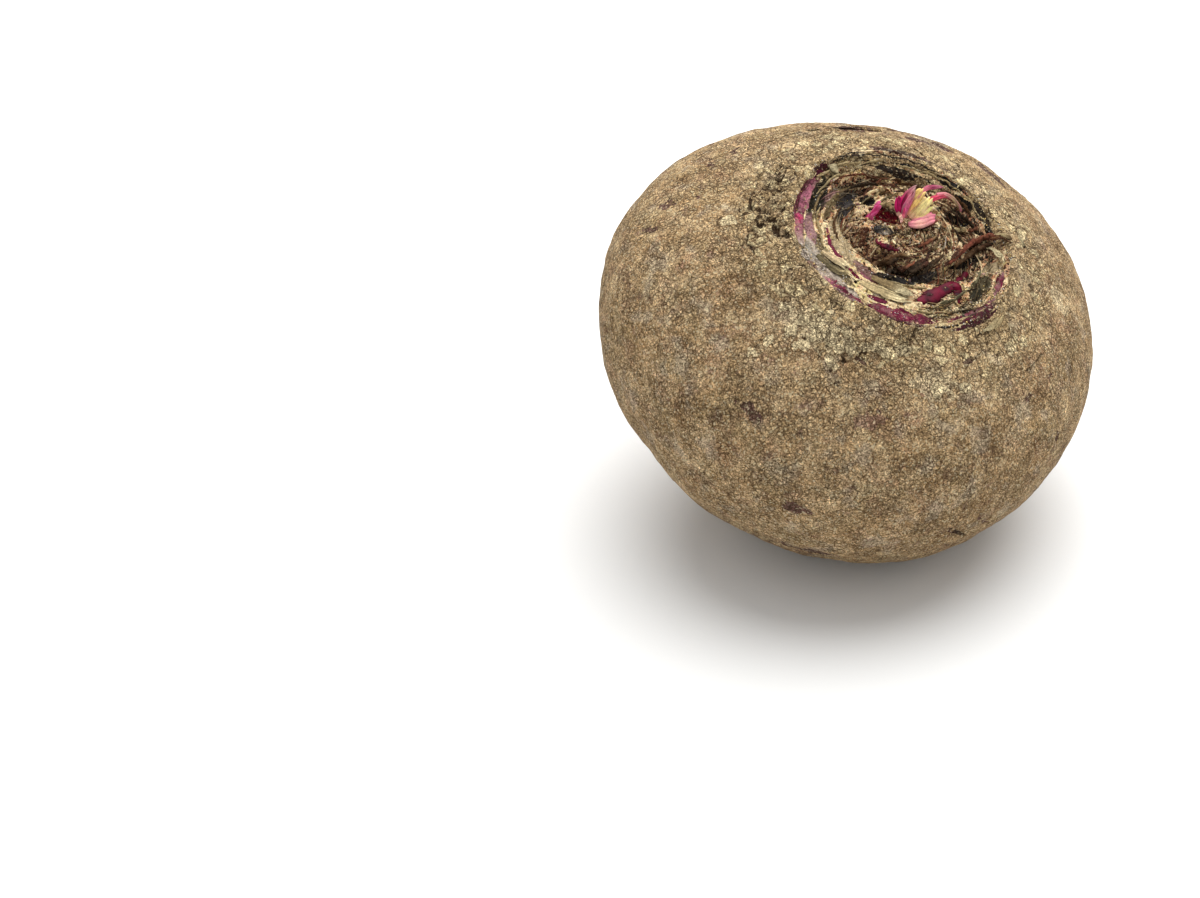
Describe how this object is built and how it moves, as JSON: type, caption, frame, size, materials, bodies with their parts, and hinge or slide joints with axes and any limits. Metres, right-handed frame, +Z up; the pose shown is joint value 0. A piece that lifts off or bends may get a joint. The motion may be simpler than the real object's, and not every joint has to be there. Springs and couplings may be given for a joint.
{
  "type": "beetroot",
  "caption": "Whole raw beetroot with trimmed crown: squat corky root, hollow crown holding dry stalk bases and young magenta and cream stalk stubs.",
  "frame": {"origin": "middle of the small flat spot that the root rests on", "axes": "+Z up; -Y towards the front, where the crown can be seen; +X to the right, towards which the crown also leans"},
  "size_m": [0.0926, 0.0895, 0.07],
  "materials": {
    "corky_skin": "dull corky root skin, earthy and finely cracked",
    "dry_stalk": "dry dark brown stalk remains",
    "magenta_stalk": "moist plant stalk, half gloss",
    "cream_stalk": "moist torn stalk, half gloss",
    "dusty_magenta_stalk": "dull dusty stalk"
  },
  "bodies": {
    "root": {"beet_root": "corky_skin", "stalk_bases": "dry_stalk", "heart_magenta": "magenta_stalk", "heart_cream": "cream_stalk", "side_shoot": "magenta_stalk", "left_stalk": "dusty_magenta_stalk", "front_stalk": "dusty_magenta_stalk", "right_stalk": "dusty_magenta_stalk"}
  },
  "joints": []
}
